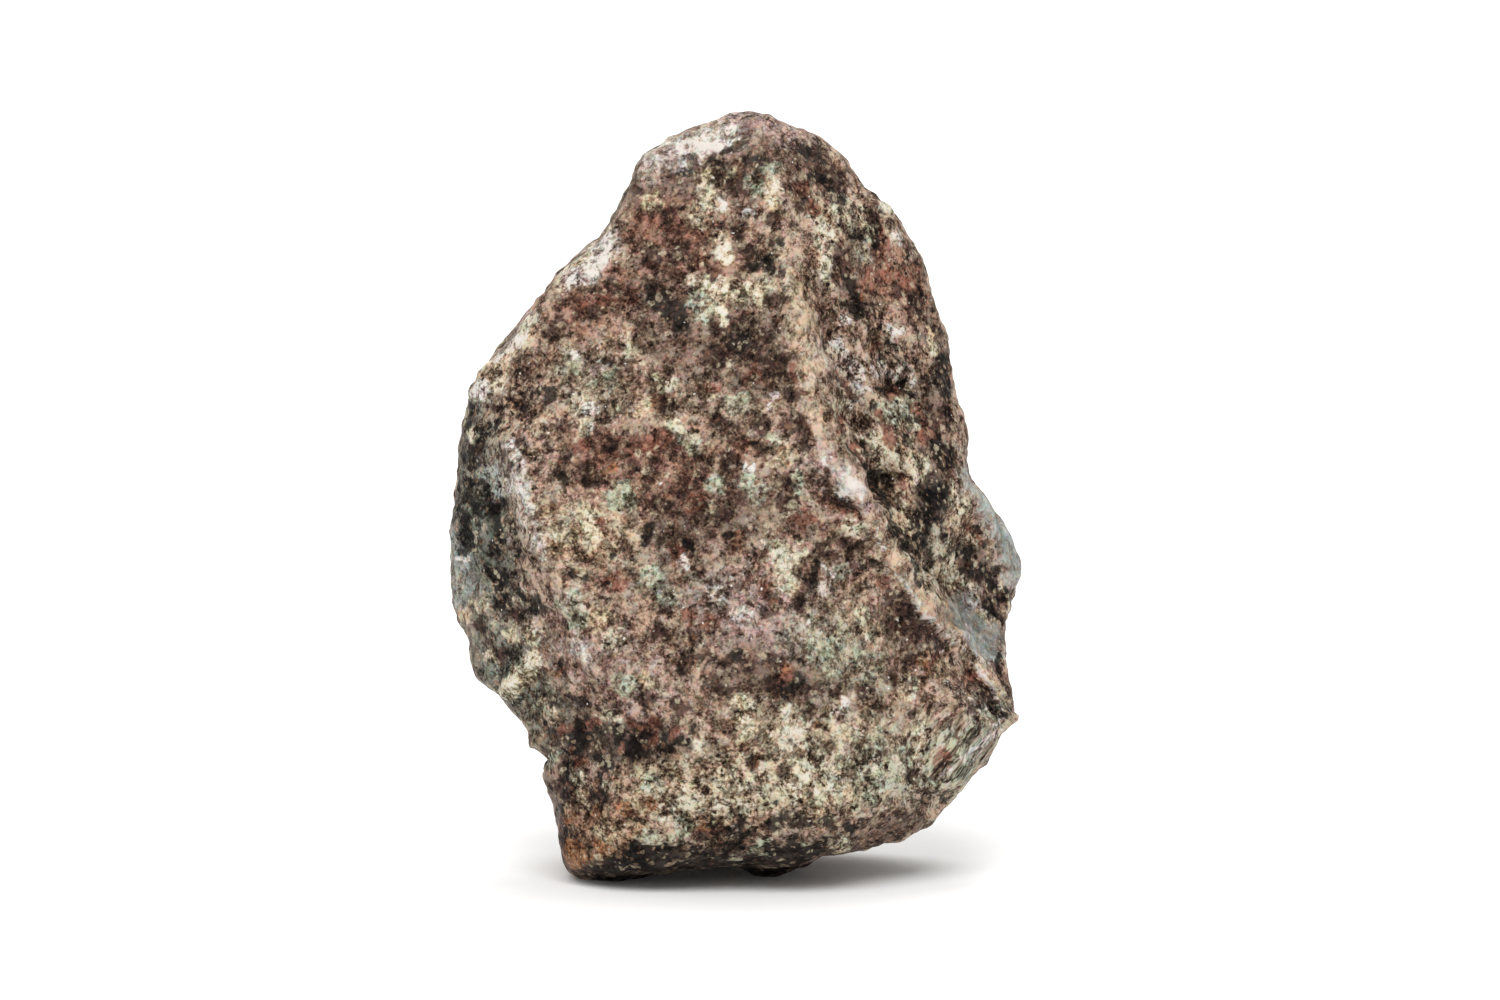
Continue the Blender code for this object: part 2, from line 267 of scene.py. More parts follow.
# Wide, soft areas of the front, in mm, as (x, z, x, z, half width, how strong). Later ones lie on top.
AREAS = [
    ("red", (-4.0, 33.4, -2.0, 32.6, 2.6, 0.6)), ("umber", (-3.8, 30.0, -3.0, 27.5, 2.0, 0.5)),
    ("umber", (0.5, 28.3, 1.0, 27.0, 2.2, 0.6)), ("red", (-6.6, 21.5, -3.0, 21.0, 2.4, 0.6)),
    ("umber", (0.0, 19.5, -3.2, 18.3, 1.8, 0.6)), ("red", (-6.5, 30.6, -8.2, 29.4, 1.6, 0.6)),
    ("slate", (-14.6, 24.6, -13.8, 18.0, 2.3, 0.75)), ("slate", (-13.8, 18.0, -12.4, 10.5, 2.5, 0.7)),
    ("black", (-12.9, 19.6, -12.4, 14.6, 0.9, 0.4)), ("slate", (-11.6, 10.6, -9.6, 7.6, 1.7, 0.7)),
    ("mauve", (-8.6, 12.4, -5.0, 9.6, 2.2, 0.5)), ("umber", (-8.8, 7.3, -3.2, 6.3, 1.5, 0.7)),
    ("black", (-7.8, 6.8, -5.2, 6.2, 1.1, 0.5)), ("umber", (-8.4, 4.8, -7.2, 3.2, 0.9, 0.5)),
    ("rust", (-8.0, 2.8, -6.0, 1.6, 1.8, 0.45)), ("umber", (-8.8, 5.4, -9.2, 2.8, 0.9, 0.7)),
    ("tan", (-4.6, 4.4, 4.0, 4.4, 1.7, 0.6)), ("cream", (2.6, 7.6, 6.6, 6.4, 2.4, 0.6)),
    ("umber", (-1.0, 12.6, 7.0, 9.4, 2.4, 0.25)), ("umber", (0.0, 24.0, 3.0, 18.0, 2.4, 0.15)),
    ("cream", (-2.0, 5.4, 6.0, 4.4, 1.6, 0.3)), ("cream", (10.4, 15.8, 12.0, 16.8, 0.8, 0.4)),
    ("tan", (11.4, 18.4, 12.4, 19.8, 0.6, 0.4)), ("sage", (6.5, 5.2, 11.0, 6.0, 2.0, 0.6)),
    # The black and umber bands along the bottom rim on this line, and the black one at z 0 further down,
    # darken the stone where it meets the table: partly dark varnish, partly painted shade.
    ("black", (-6.5, 0.4, 5.4, 0.9, 1.1, 0.8)), ("umber", (5.4, 1.2, 9.4, 2.6, 0.8, 0.7)),
    ("mauve", (-0.5, 14.5, 2.6, 13.0, 2.2, 0.7)), ("slate", (-4.5, 15.8, -2.0, 15.0, 1.8, 0.3)),
    ("sage", (4.0, 12.4, 6.6, 11.0, 1.8, 0.5)), ("umber", (8.4, 13.3, 9.6, 12.6, 1.3, 0.7)),
    ("lilac", (-11.9, 22.4, -10.4, 17.6, 0.6, 0.7)), ("film", (-14.9, 17.0, -14.2, 14.6, 0.9, 0.6)),
    ("film", (-12.8, 21.0, -12.6, 20.2, 0.6, 0.5)), ("tan", (-11.6, 28.6, -13.4, 26.4, 1.1, 0.6)),
    ("umber", (1.0, 10.6, 3.0, 9.6, 1.8, 0.6)), ("sage", (-8.2, 26.6, -7.2, 25.8, 1.2, 0.6)),
    # The pale lilac, chalk and white laid on the crown and the upper left rim, which face the light from
    # above, are partly pale stone and partly painted light.
    ("tan", (-9.2, 18.2, -6.6, 17.6, 1.6, 0.6)), ("lilac", (-4.4, 37.6, -0.4, 38.9, 1.1, 0.9)),
    ("mauve", (0.2, 39.6, 3.6, 39.0, 1.0, 0.8)), ("umber", (-5.4, 35.6, -2.0, 36.2, 0.9, 0.6)),
    ("umber", (-1.4, 37.0, 0.6, 36.2, 0.8, 0.6)), ("umber", (1.6, 38.2, 4.8, 36.6, 0.9, 0.5)),
    ("red", (-4.4, 34.6, -2.6, 34.0, 1.3, 0.6)), ("lilac", (-8.8, 31.4, -6.6, 33.4, 0.8, 0.8)),
    ("lilac", (-12.8, 26.9, -10.8, 29.2, 0.6, 0.8)), ("cream", (2.0, 34.0, 2.8, 31.0, 0.5, 0.4)),
    ("tan", (2.8, 31.0, 4.0, 26.5, 0.8, 0.35)), ("lilac", (4.4, 27.4, 6.2, 25.6, 0.8, 0.3)),
    ("tan", (3.8, 25.5, 4.8, 23.0, 0.5, 0.3)), ("lilac", (5.4, 21.4, 6.4, 20.2, 0.5, 0.5)),
    ("mauve", (4.6, 21.6, 6.4, 19.4, 1.2, 0.6)), ("tan", (6.6, 18.8, 8.4, 16.4, 0.4, 0.3)),
    ("tan", (8.1, 16.3, 9.8, 13.8, 0.4, 0.3)), ("tan", (9.8, 13.8, 13.8, 9.6, 0.4, 0.3)),
    ("cream", (8.2, 18.6, 10.4, 15.0, 0.6, 0.6)), ("tan", (7.6, 24.0, 8.6, 19.0, 0.8, 0.5)),
    # The next three chalk areas lie on the crown and the upper left rim: pale stone with painted light from
    # above.
    ("cream", (5.4, 25.0, 6.4, 22.4, 0.5, 0.4)), ("chalk and top light", (-2.8, 37.9, -0.4, 38.7, 0.7, 0.8)),
    ("chalk and top light", (-8.4, 31.2, -7.0, 32.9, 0.4, 0.7)), ("tan", (-12.9, 26.6, -11.0, 28.4, 0.6, 0.8)),
    ("chalk and top light", (-12.4, 27.2, -11.3, 28.4, 0.35, 0.7)), ("black", (-8.2, 0.0, 6.0, 0.1, 1.1, 0.85)),
    ("umber", (-10.6, 5.4, -9.4, 2.0, 0.7, 0.7)), ("black", (-9.9, 3.6, -9.0, 0.8, 0.5, 0.6)),
    ("red", (7.0, 32.6, 9.0, 30.4, 1.5, 0.7)), ("umber", (5.6, 32.6, 6.4, 29.8, 0.9, 0.6)),
    ("sage", (5.6, 35.2, 6.6, 32.6, 0.7, 0.5)), ("umber", (9.6, 30.0, 10.9, 26.4, 0.7, 0.7)),
    ("umber", (10.0, 25.0, 10.6, 21.6, 1.1, 0.7)), ("sage", (8.0, 24.4, 9.2, 24.0, 0.9, 0.6)),
    ("cream", (7.2, 22.6, 9.6, 21.4, 0.7, 0.5)), ("black", (10.4, 20.2, 9.9, 17.6, 1.0, 0.9)),
    ("cream", (10.7, 16.9, 11.6, 15.0, 0.7, 0.5)), ("cream", (10.6, 17.8, 12.4, 15.2, 0.5, 0.4)),
    ("film", (12.6, 21.0, 14.4, 17.6, 0.9, 1.0)), ("film", (14.4, 17.6, 15.2, 15.4, 0.9, 1.0)),
    ("film", (12.0, 14.0, 13.3, 11.9, 1.0, 1.0)), ("umber", (12.4, 16.9, 13.8, 14.4, 0.7, 0.7)),
    ("umber", (12.6, 10.2, 13.6, 8.8, 0.7, 0.7)), ("sage", (13.8, 8.8, 11.0, 5.0, 1.0, 0.6)),
    ("black", (14.3, 8.6, 14.0, 8.2, 0.3, 0.6)), ("slate", (13.6, 8.0, 11.6, 5.0, 0.4, 0.5)),
]

# Blotches of the front, as (x, z, radius). They are clots of dark or pale grains, 0.3 to 2 mm across.
SPOTS = [
    ("cream", [
        (-1.5, 35.7, 0.7), (1.7, 35.9, 0.6), (-2.0, 34.5, 0.5), (-0.8, 33.5, 0.5), (-0.9, 32.7, 0.4),
        (4.7, 33.6, 0.5), (4.2, 34.6, 0.4), (4.9, 35.1, 0.3), (-2.3, 31.2, 0.4), (1.6, 31.0, 0.5),
        (0.3, 30.5, 0.6), (-1.0, 30.5, 0.5), (1.3, 30.3, 0.5), (-3.8, 25.9, 0.5), (-3.2, 23.6, 0.5),
        (-1.2, 25.0, 0.4), (-6.4, 24.4, 0.35), (-5.5, 27.9, 0.5), (-8.0, 18.9, 0.7), (-9.0, 18.0, 0.5),
        (-1.3, 19.2, 0.3), (7.6, 22.2, 0.5), (9.5, 21.2, 0.5), (8.7, 19.7, 0.3), (12.4, 17.6, 0.3),
        (2.8, 16.7, 0.7), (2.6, 15.3, 0.6), (1.9, 17.1, 0.4), (6.9, 12.9, 0.6), (6.6, 13.6, 0.4),
        (10.3, 27.3, 0.35), (8.0, 35.3, 0.5), (-9.8, 8.2, 0.5), (-10.3, 9.0, 0.25), (-13.3, 14.2, 0.4),
        (-12.9, 11.3, 0.3), (-10.7, 12.4, 0.5), (-6.4, 12.3, 0.6), (-6.6, 8.1, 0.4), (-6.9, 4.5, 0.3),
        (-2.4, 3.6, 0.9), (-2.0, 4.3, 0.4), (-0.8, 3.3, 0.8), (-0.6, 5.3, 0.4), (-2.0, 6.7, 0.35),
        (-0.5, 4.5, 0.6), (1.0, 4.4, 0.7), (3.5, 4.4, 0.9), (4.8, 4.3, 0.5), (0.5, 3.5, 0.5),
        (3.2, 7.5, 0.9), (2.5, 8.6, 0.5), (6.3, 7.1, 0.5), (3.5, 5.9, 0.6), (9.5, 7.1, 0.6),
        (8.9, 9.8, 0.5), (5.5, 1.4, 0.4), (-3.6, 3.4, 0.6), (2.2, 22.9, 0.35), (-9.2, 30.7, 0.3),
        (-11.2, 29.1, 0.5), (6.2, 18.3, 0.45), (-12.6, 25.9, 0.4), (-13.9, 23.2, 0.3),
    ]),
    ("sage", [
        (-1.8, 29.3, 0.5), (-1.9, 30.2, 0.5), (0.0, 24.8, 0.6), (-2.6, 22.9, 0.6), (-2.3, 22.4, 0.4),
        (-5.9, 19.7, 0.7), (-1.0, 20.4, 0.5), (1.4, 37.1, 0.25), (2.1, 37.0, 0.45), (7.0, 33.8, 0.5),
        (8.3, 24.2, 0.6), (4.6, 11.9, 0.8), (4.8, 11.0, 0.5), (6.4, 11.2, 0.5), (-3.7, 14.8, 0.6),
        (-4.6, 15.6, 0.6), (-8.7, 14.3, 0.6), (-8.4, 13.3, 0.6), (-6.0, 9.9, 0.6), (-4.5, 4.6, 0.6),
        (-4.3, 1.8, 0.6), (-3.4, 1.6, 0.5), (-2.7, 2.6, 0.6), (1.3, 1.4, 0.5), (0.1, 0.9, 0.3),
        (3.5, 1.5, 0.3), (7.4, 4.3, 0.5), (8.6, 6.5, 0.4), (-9.6, 6.1, 0.4), (-6.6, 26.2, 0.5),
        (3.3, 20.6, 0.5), (1.2, 19.9, 0.5), (5.6, 16.0, 0.5), (1.0, 36.3, 0.4), (0.6, 20.8, 0.4),
    ]),
    ("tan", [
        (1.9, 35.2, 0.4), (-4.4, 35.4, 0.5), (-5.4, 27.9, 0.4), (-4.9, 24.5, 0.4), (-8.0, 17.8, 0.8),
        (-9.2, 17.3, 0.4), (-7.9, 16.0, 0.3), (-10.1, 23.8, 0.3), (2.5, 22.0, 0.6), (2.0, 21.6, 0.4),
        (-14.2, 13.6, 0.35), (-11.7, 12.4, 0.4), (-7.3, 13.3, 0.6), (-4.8, 10.1, 0.4), (-8.9, 3.6, 0.3),
        (-6.5, 2.2, 0.8), (4.6, 7.6, 0.4), (5.6, 7.3, 0.4), (0.4, 6.8, 0.5), (6.0, 3.9, 0.3),
        (9.9, 11.2, 0.35), (-5.0, 3.9, 0.5), (10.9, 10.6, 0.5), (-1.4, 36.8, 0.3), (-3.4, 24.1, 0.3),
    ]),
    ("red", [
        (-7.6, 7.9, 0.35), (-6.0, 6.6, 0.3), (-4.4, 7.0, 0.3), (-8.0, 5.8, 0.3), (-5.6, 8.0, 0.3),
        (-3.4, 7.6, 0.3), (-6.9, 30.4, 0.6), (-7.9, 29.8, 0.5), (-5.6, 30.2, 0.4), (-4.0, 22.9, 0.7),
        (-5.4, 22.5, 0.6), (-1.3, 25.4, 0.4), (-2.3, 19.5, 0.5), (0.3, 17.5, 0.35), (1.0, 26.2, 0.5),
        (7.2, 27.6, 0.3), (8.2, 25.1, 0.4), (8.6, 20.5, 0.2), (12.2, 10.2, 0.25), (-1.4, 13.2, 0.4),
        (-2.4, 13.6, 0.5), (2.5, 10.4, 0.4), (7.5, 31.4, 0.7), (9.0, 31.4, 0.6), (-8.0, 22.6, 0.5),
        (10.6, 11.3, 0.4), (10.8, 6.0, 0.5), (-8.9, 7.7, 0.4), (-4.5, 7.7, 0.4), (3.4, 18.6, 0.6),
        (0.2, 22.4, 0.5), (-3.1, 16.9, 0.5), (-6.3, 15.2, 0.6), (-7.2, 18.4, 0.3), (1.5, 14.9, 0.5),
        (7.8, 15.2, 0.4),
    ]),
    ("rust", [
        (-6.6, 21.3, 0.25), (-4.3, 24.7, 0.25), (9.9, 11.0, 0.35), (-8.5, 0.9, 0.6), (-4.6, 3.7, 0.4),
        (-8.8, 2.8, 0.35), (-5.8, 3.4, 0.4), (-7.0, 1.2, 0.5), (-9.4, 10.6, 0.35), (2.6, 10.7, 0.25),
        (-2.1, 19.4, 0.25), (6.6, 30.6, 0.4), (1.2, 5.9, 0.3), (-10.4, 3.0, 0.3), (-7.3, 3.2, 0.3),
        (-1.6, 2.4, 0.3), (4.3, 7.9, 0.25),
    ]),
    ("umber", [
        (-2.4, 37.5, 0.4), (-3.4, 36.8, 0.4), (-1.2, 36.8, 0.35), (0.3, 36.3, 0.6), (1.1, 37.4, 0.4),
        (3.9, 38.0, 0.45), (4.9, 36.9, 0.5), (5.3, 35.7, 0.4), (3.7, 35.5, 0.55), (1.8, 34.5, 0.4),
        (-3.6, 34.6, 0.6), (-5.3, 35.9, 0.4), (0.2, 33.9, 0.45), (0.6, 32.9, 0.6), (-4.5, 32.4, 0.6),
        (-3.0, 32.7, 0.6), (-6.5, 31.2, 0.35), (2.2, 30.3, 0.55), (-1.0, 29.1, 0.5), (-0.9, 28.6, 0.5),
        (1.2, 28.3, 0.6), (-1.3, 31.3, 0.45), (5.5, 31.9, 0.55), (7.4, 32.9, 0.5), (7.2, 34.8, 0.4),
        (8.4, 30.8, 0.5), (9.6, 30.2, 0.5), (2.2, 26.9, 0.6), (-1.0, 27.3, 0.6), (-2.6, 27.8, 0.4),
        (1.0, 27.2, 0.5), (3.2, 23.6, 0.6), (1.5, 23.6, 0.5), (-1.0, 23.9, 0.45), (-3.6, 24.7, 0.35),
        (3.0, 25.4, 0.4), (-7.5, 29.4, 0.4), (-6.8, 26.8, 0.3), (-9.8, 28.5, 0.4), (-9.2, 29.0, 0.4),
        (-11.2, 26.4, 0.35), (-11.2, 24.6, 0.4), (-12.5, 24.6, 0.3), (-10.3, 23.1, 0.3),
        (-11.2, 22.5, 0.3), (-9.9, 22.4, 0.3), (-13.7, 22.2, 0.5), (-12.1, 21.9, 0.35),
        (-11.5, 21.3, 0.3), (-8.9, 21.5, 0.55), (-7.8, 21.2, 0.45), (-7.3, 20.4, 0.35),
        (-5.3, 21.4, 0.35), (-4.3, 21.5, 0.4), (-2.7, 20.1, 0.4), (-3.8, 19.2, 0.45), (-0.5, 21.9, 0.5),
        (-6.5, 22.5, 0.45), (3.7, 22.4, 0.45), (1.2, 22.6, 0.4), (3.0, 20.6, 0.5), (2.7, 19.6, 0.5),
        (4.9, 19.8, 0.3), (5.9, 17.5, 0.5), (6.8, 17.3, 0.4), (4.6, 16.9, 0.5), (7.0, 16.3, 0.4),
        (6.2, 16.2, 0.4), (10.2, 23.5, 0.6), (10.1, 22.1, 0.5), (11.0, 24.5, 0.4), (12.0, 16.5, 0.5),
        (12.7, 15.7, 0.5), (9.5, 13.2, 0.55), (8.5, 13.0, 0.5), (8.6, 14.3, 0.4), (10.3, 12.5, 0.3),
        (9.2, 11.3, 0.45), (2.0, 14.2, 0.4), (3.3, 14.3, 0.4), (1.4, 13.7, 0.35), (0.8, 10.9, 0.4),
        (2.1, 11.2, 0.5), (2.0, 9.9, 0.5), (5.3, 9.4, 0.4), (6.8, 9.6, 0.45), (8.1, 10.4, 0.35),
        (9.5, 8.3, 0.25), (4.1, 6.3, 0.3), (1.0, 5.8, 0.4), (2.5, 5.4, 0.3), (-13.4, 13.0, 0.5),
        (-11.6, 13.7, 0.4), (-12.3, 11.5, 0.4), (-9.4, 10.7, 0.3), (-4.8, 9.2, 0.5), (-3.0, 8.8, 0.45),
        (-2.7, 11.0, 0.5), (-1.2, 10.1, 0.5), (-0.5, 9.6, 0.5), (-0.6, 11.1, 0.5), (-1.7, 11.5, 0.5),
        (-4.0, 12.7, 0.4), (-3.7, 14.0, 0.3), (-5.7, 13.2, 0.3), (-9.0, 4.6, 0.5), (-8.9, 3.9, 0.35),
        (9.4, 5.0, 0.4), (10.6, 5.2, 0.35), (12.5, 8.7, 0.35), (13.3, 9.2, 0.35), (-3.8, 3.2, 0.3),
        (-1.4, 1.9, 0.35), (6.6, 1.8, 0.3), (-0.5, 18.9, 0.4), (-2.6, 12.5, 0.4), (4.3, 9.6, 0.35),
        (8.6, 3.0, 0.3),
    ]),
    ("black", [
        (0.9, 37.6, 0.5), (1.2, 36.9, 0.3), (3.7, 38.0, 0.45), (-2.7, 37.2, 0.45), (-1.2, 37.3, 0.3),
        (4.4, 36.6, 0.5), (5.2, 35.4, 0.4), (4.6, 37.2, 0.3), (2.3, 33.4, 0.35), (2.5, 31.6, 0.3),
        (7.6, 35.0, 0.35), (6.3, 33.6, 0.4), (7.8, 27.0, 0.25), (8.8, 26.4, 0.2), (8.0, 26.0, 0.2),
        (7.3, 24.6, 0.3), (9.4, 24.2, 0.3), (6.9, 22.4, 0.3), (9.0, 22.6, 0.3), (7.9, 19.0, 0.3),
        (8.4, 18.0, 0.3), (8.8, 17.0, 0.25), (11.2, 19.2, 0.3), (11.6, 17.0, 0.35), (13.0, 17.2, 0.3),
        (13.8, 16.0, 0.3), (14.2, 14.8, 0.25), (-8.2, 9.0, 0.35), (-2.2, 7.4, 0.3), (-1.2, 8.2, 0.3),
        (1.8, 32.2, 0.6), (0.9, 32.0, 0.35), (-4.2, 30.3, 0.7), (-3.3, 29.6, 0.7), (-3.1, 28.9, 0.4),
        (0.0, 28.0, 0.7), (6.2, 30.9, 0.4), (6.3, 30.0, 0.5), (5.9, 29.8, 0.3), (8.1, 27.9, 0.25),
        (8.5, 25.7, 0.35), (7.8, 25.3, 0.2), (10.8, 27.1, 0.45), (11.0, 26.3, 0.4), (-9.9, 25.2, 0.5),
        (-10.3, 25.7, 0.15), (-9.2, 20.9, 0.35), (-12.6, 18.3, 0.4), (-12.8, 17.4, 0.35),
        (-12.6, 19.4, 0.35), (-14.0, 17.5, 0.35), (-14.3, 16.9, 0.3), (-12.6, 15.6, 0.4),
        (-12.4, 14.8, 0.35), (-13.6, 19.2, 0.3), (-14.2, 20.6, 0.3), (-14.5, 23.6, 0.35),
        (-13.8, 24.5, 0.3), (-14.2, 22.0, 0.3), (-13.2, 23.0, 0.3), (-12.6, 23.6, 0.25),
        (-11.4, 16.6, 0.3), (-8.4, 15.6, 0.4), (-7.6, 15.5, 0.3), (-4.5, 18.0, 0.45), (-4.7, 17.4, 0.35),
        (-2.6, 17.2, 0.45), (-8.1, 18.4, 0.15), (-6.8, 16.7, 0.25), (-0.4, 17.7, 0.3), (7.2, 20.9, 0.3),
        (7.5, 20.3, 0.25), (4.0, 15.4, 0.45), (4.3, 15.9, 0.35), (10.5, 19.8, 0.55), (10.3, 18.6, 0.5),
        (9.2, 18.7, 0.4), (9.8, 18.2, 0.4), (10.1, 17.1, 0.3), (9.3, 17.6, 0.35), (12.5, 18.3, 0.25),
        (13.4, 14.3, 0.25), (-10.6, 14.0, 0.45), (-7.9, 7.2, 0.5), (-8.6, 6.5, 0.4), (-7.2, 6.2, 0.4),
        (-4.9, 7.4, 0.6), (-5.2, 6.6, 0.7), (-3.7, 6.8, 0.6), (-2.9, 7.0, 0.4), (-6.2, 7.3, 0.5),
        (-6.8, 5.5, 0.4), (-8.0, 8.0, 0.35), (0.0, 11.4, 0.4), (3.0, 10.0, 0.5), (2.5, 9.5, 0.4),
        (3.1, 2.7, 0.6), (4.6, 2.7, 0.45), (5.8, 2.4, 0.4), (2.2, 3.8, 0.2), (2.1, 2.5, 0.4),
        (0.4, 2.4, 0.5), (-0.3, 1.8, 0.5), (4.7, 1.6, 0.35), (-1.1, 2.5, 0.25), (14.1, 8.4, 0.3),
        (-6.1, 0.5, 0.5), (-5.2, 1.3, 0.4), (-8.8, 1.9, 0.3), (-5.0, 0.5, 0.4), (2.9, 1.6, 0.3),
    ]),
    ("lilac", [
        (-3.4, 37.6, 0.6), (-4.3, 37.2, 0.4), (6.5, 26.2, 0.4), (7.4, 26.6, 0.35), (5.6, 28.9, 0.3),
        (-7.2, 26.4, 0.4), (-11.5, 20.4, 0.5), (6.0, 20.3, 0.5), (-8.3, 11.8, 0.45), (-7.9, 11.2, 0.35),
        (8.4, 33.5, 0.35), (8.3, 26.4, 0.5), (9.0, 26.2, 0.4), (4.6, 14.9, 0.4), (-1.0, 14.6, 0.5),
        (0.3, 13.4, 0.5),
    ]),
    # White grains; on the crown they are partly painted light from above, and the smallest dots are partly
    # painted glints.
    ("white", [
        (-1.5, 38.8, 0.5), (-0.4, 38.9, 0.35), (-2.6, 38.6, 0.4), (-0.6, 35.0, 0.25), (0.5, 34.7, 0.2),
        (2.1, 37.0, 0.2), (5.8, 29.1, 0.2), (8.3, 28.5, 0.12), (7.9, 26.5, 0.15), (8.7, 26.9, 0.15),
        (9.1, 25.8, 0.12), (8.3, 26.1, 0.12), (2.0, 25.3, 0.2), (1.7, 24.6, 0.18), (-7.8, 24.5, 0.45),
        (-7.8, 23.6, 0.35), (-8.3, 27.3, 0.15), (5.6, 19.9, 0.3), (6.3, 20.4, 0.25), (6.8, 19.7, 0.15),
        (0.9, 21.4, 0.15), (5.8, 24.7, 0.15), (5.0, 15.9, 0.25), (3.7, 14.6, 0.13), (3.7, 13.2, 0.13),
        (-4.0, 20.5, 0.15), (-0.2, 15.6, 0.13), (5.1, 8.4, 0.18), (5.7, 8.9, 0.22), (5.5, 8.3, 0.15),
        (1.35, 5.8, 0.18), (10.6, 11.6, 0.13), (10.9, 10.0, 0.15), (-14.2, 16.5, 0.2), (-2.7, 16.3, 0.15),
        (-13.3, 25.5, 0.35), (-3.9, 14.9, 0.25), (1.5, 17.5, 0.15), (-7.1, 26.9, 0.15), (3.5, 12.4, 0.13),
    ]),
]

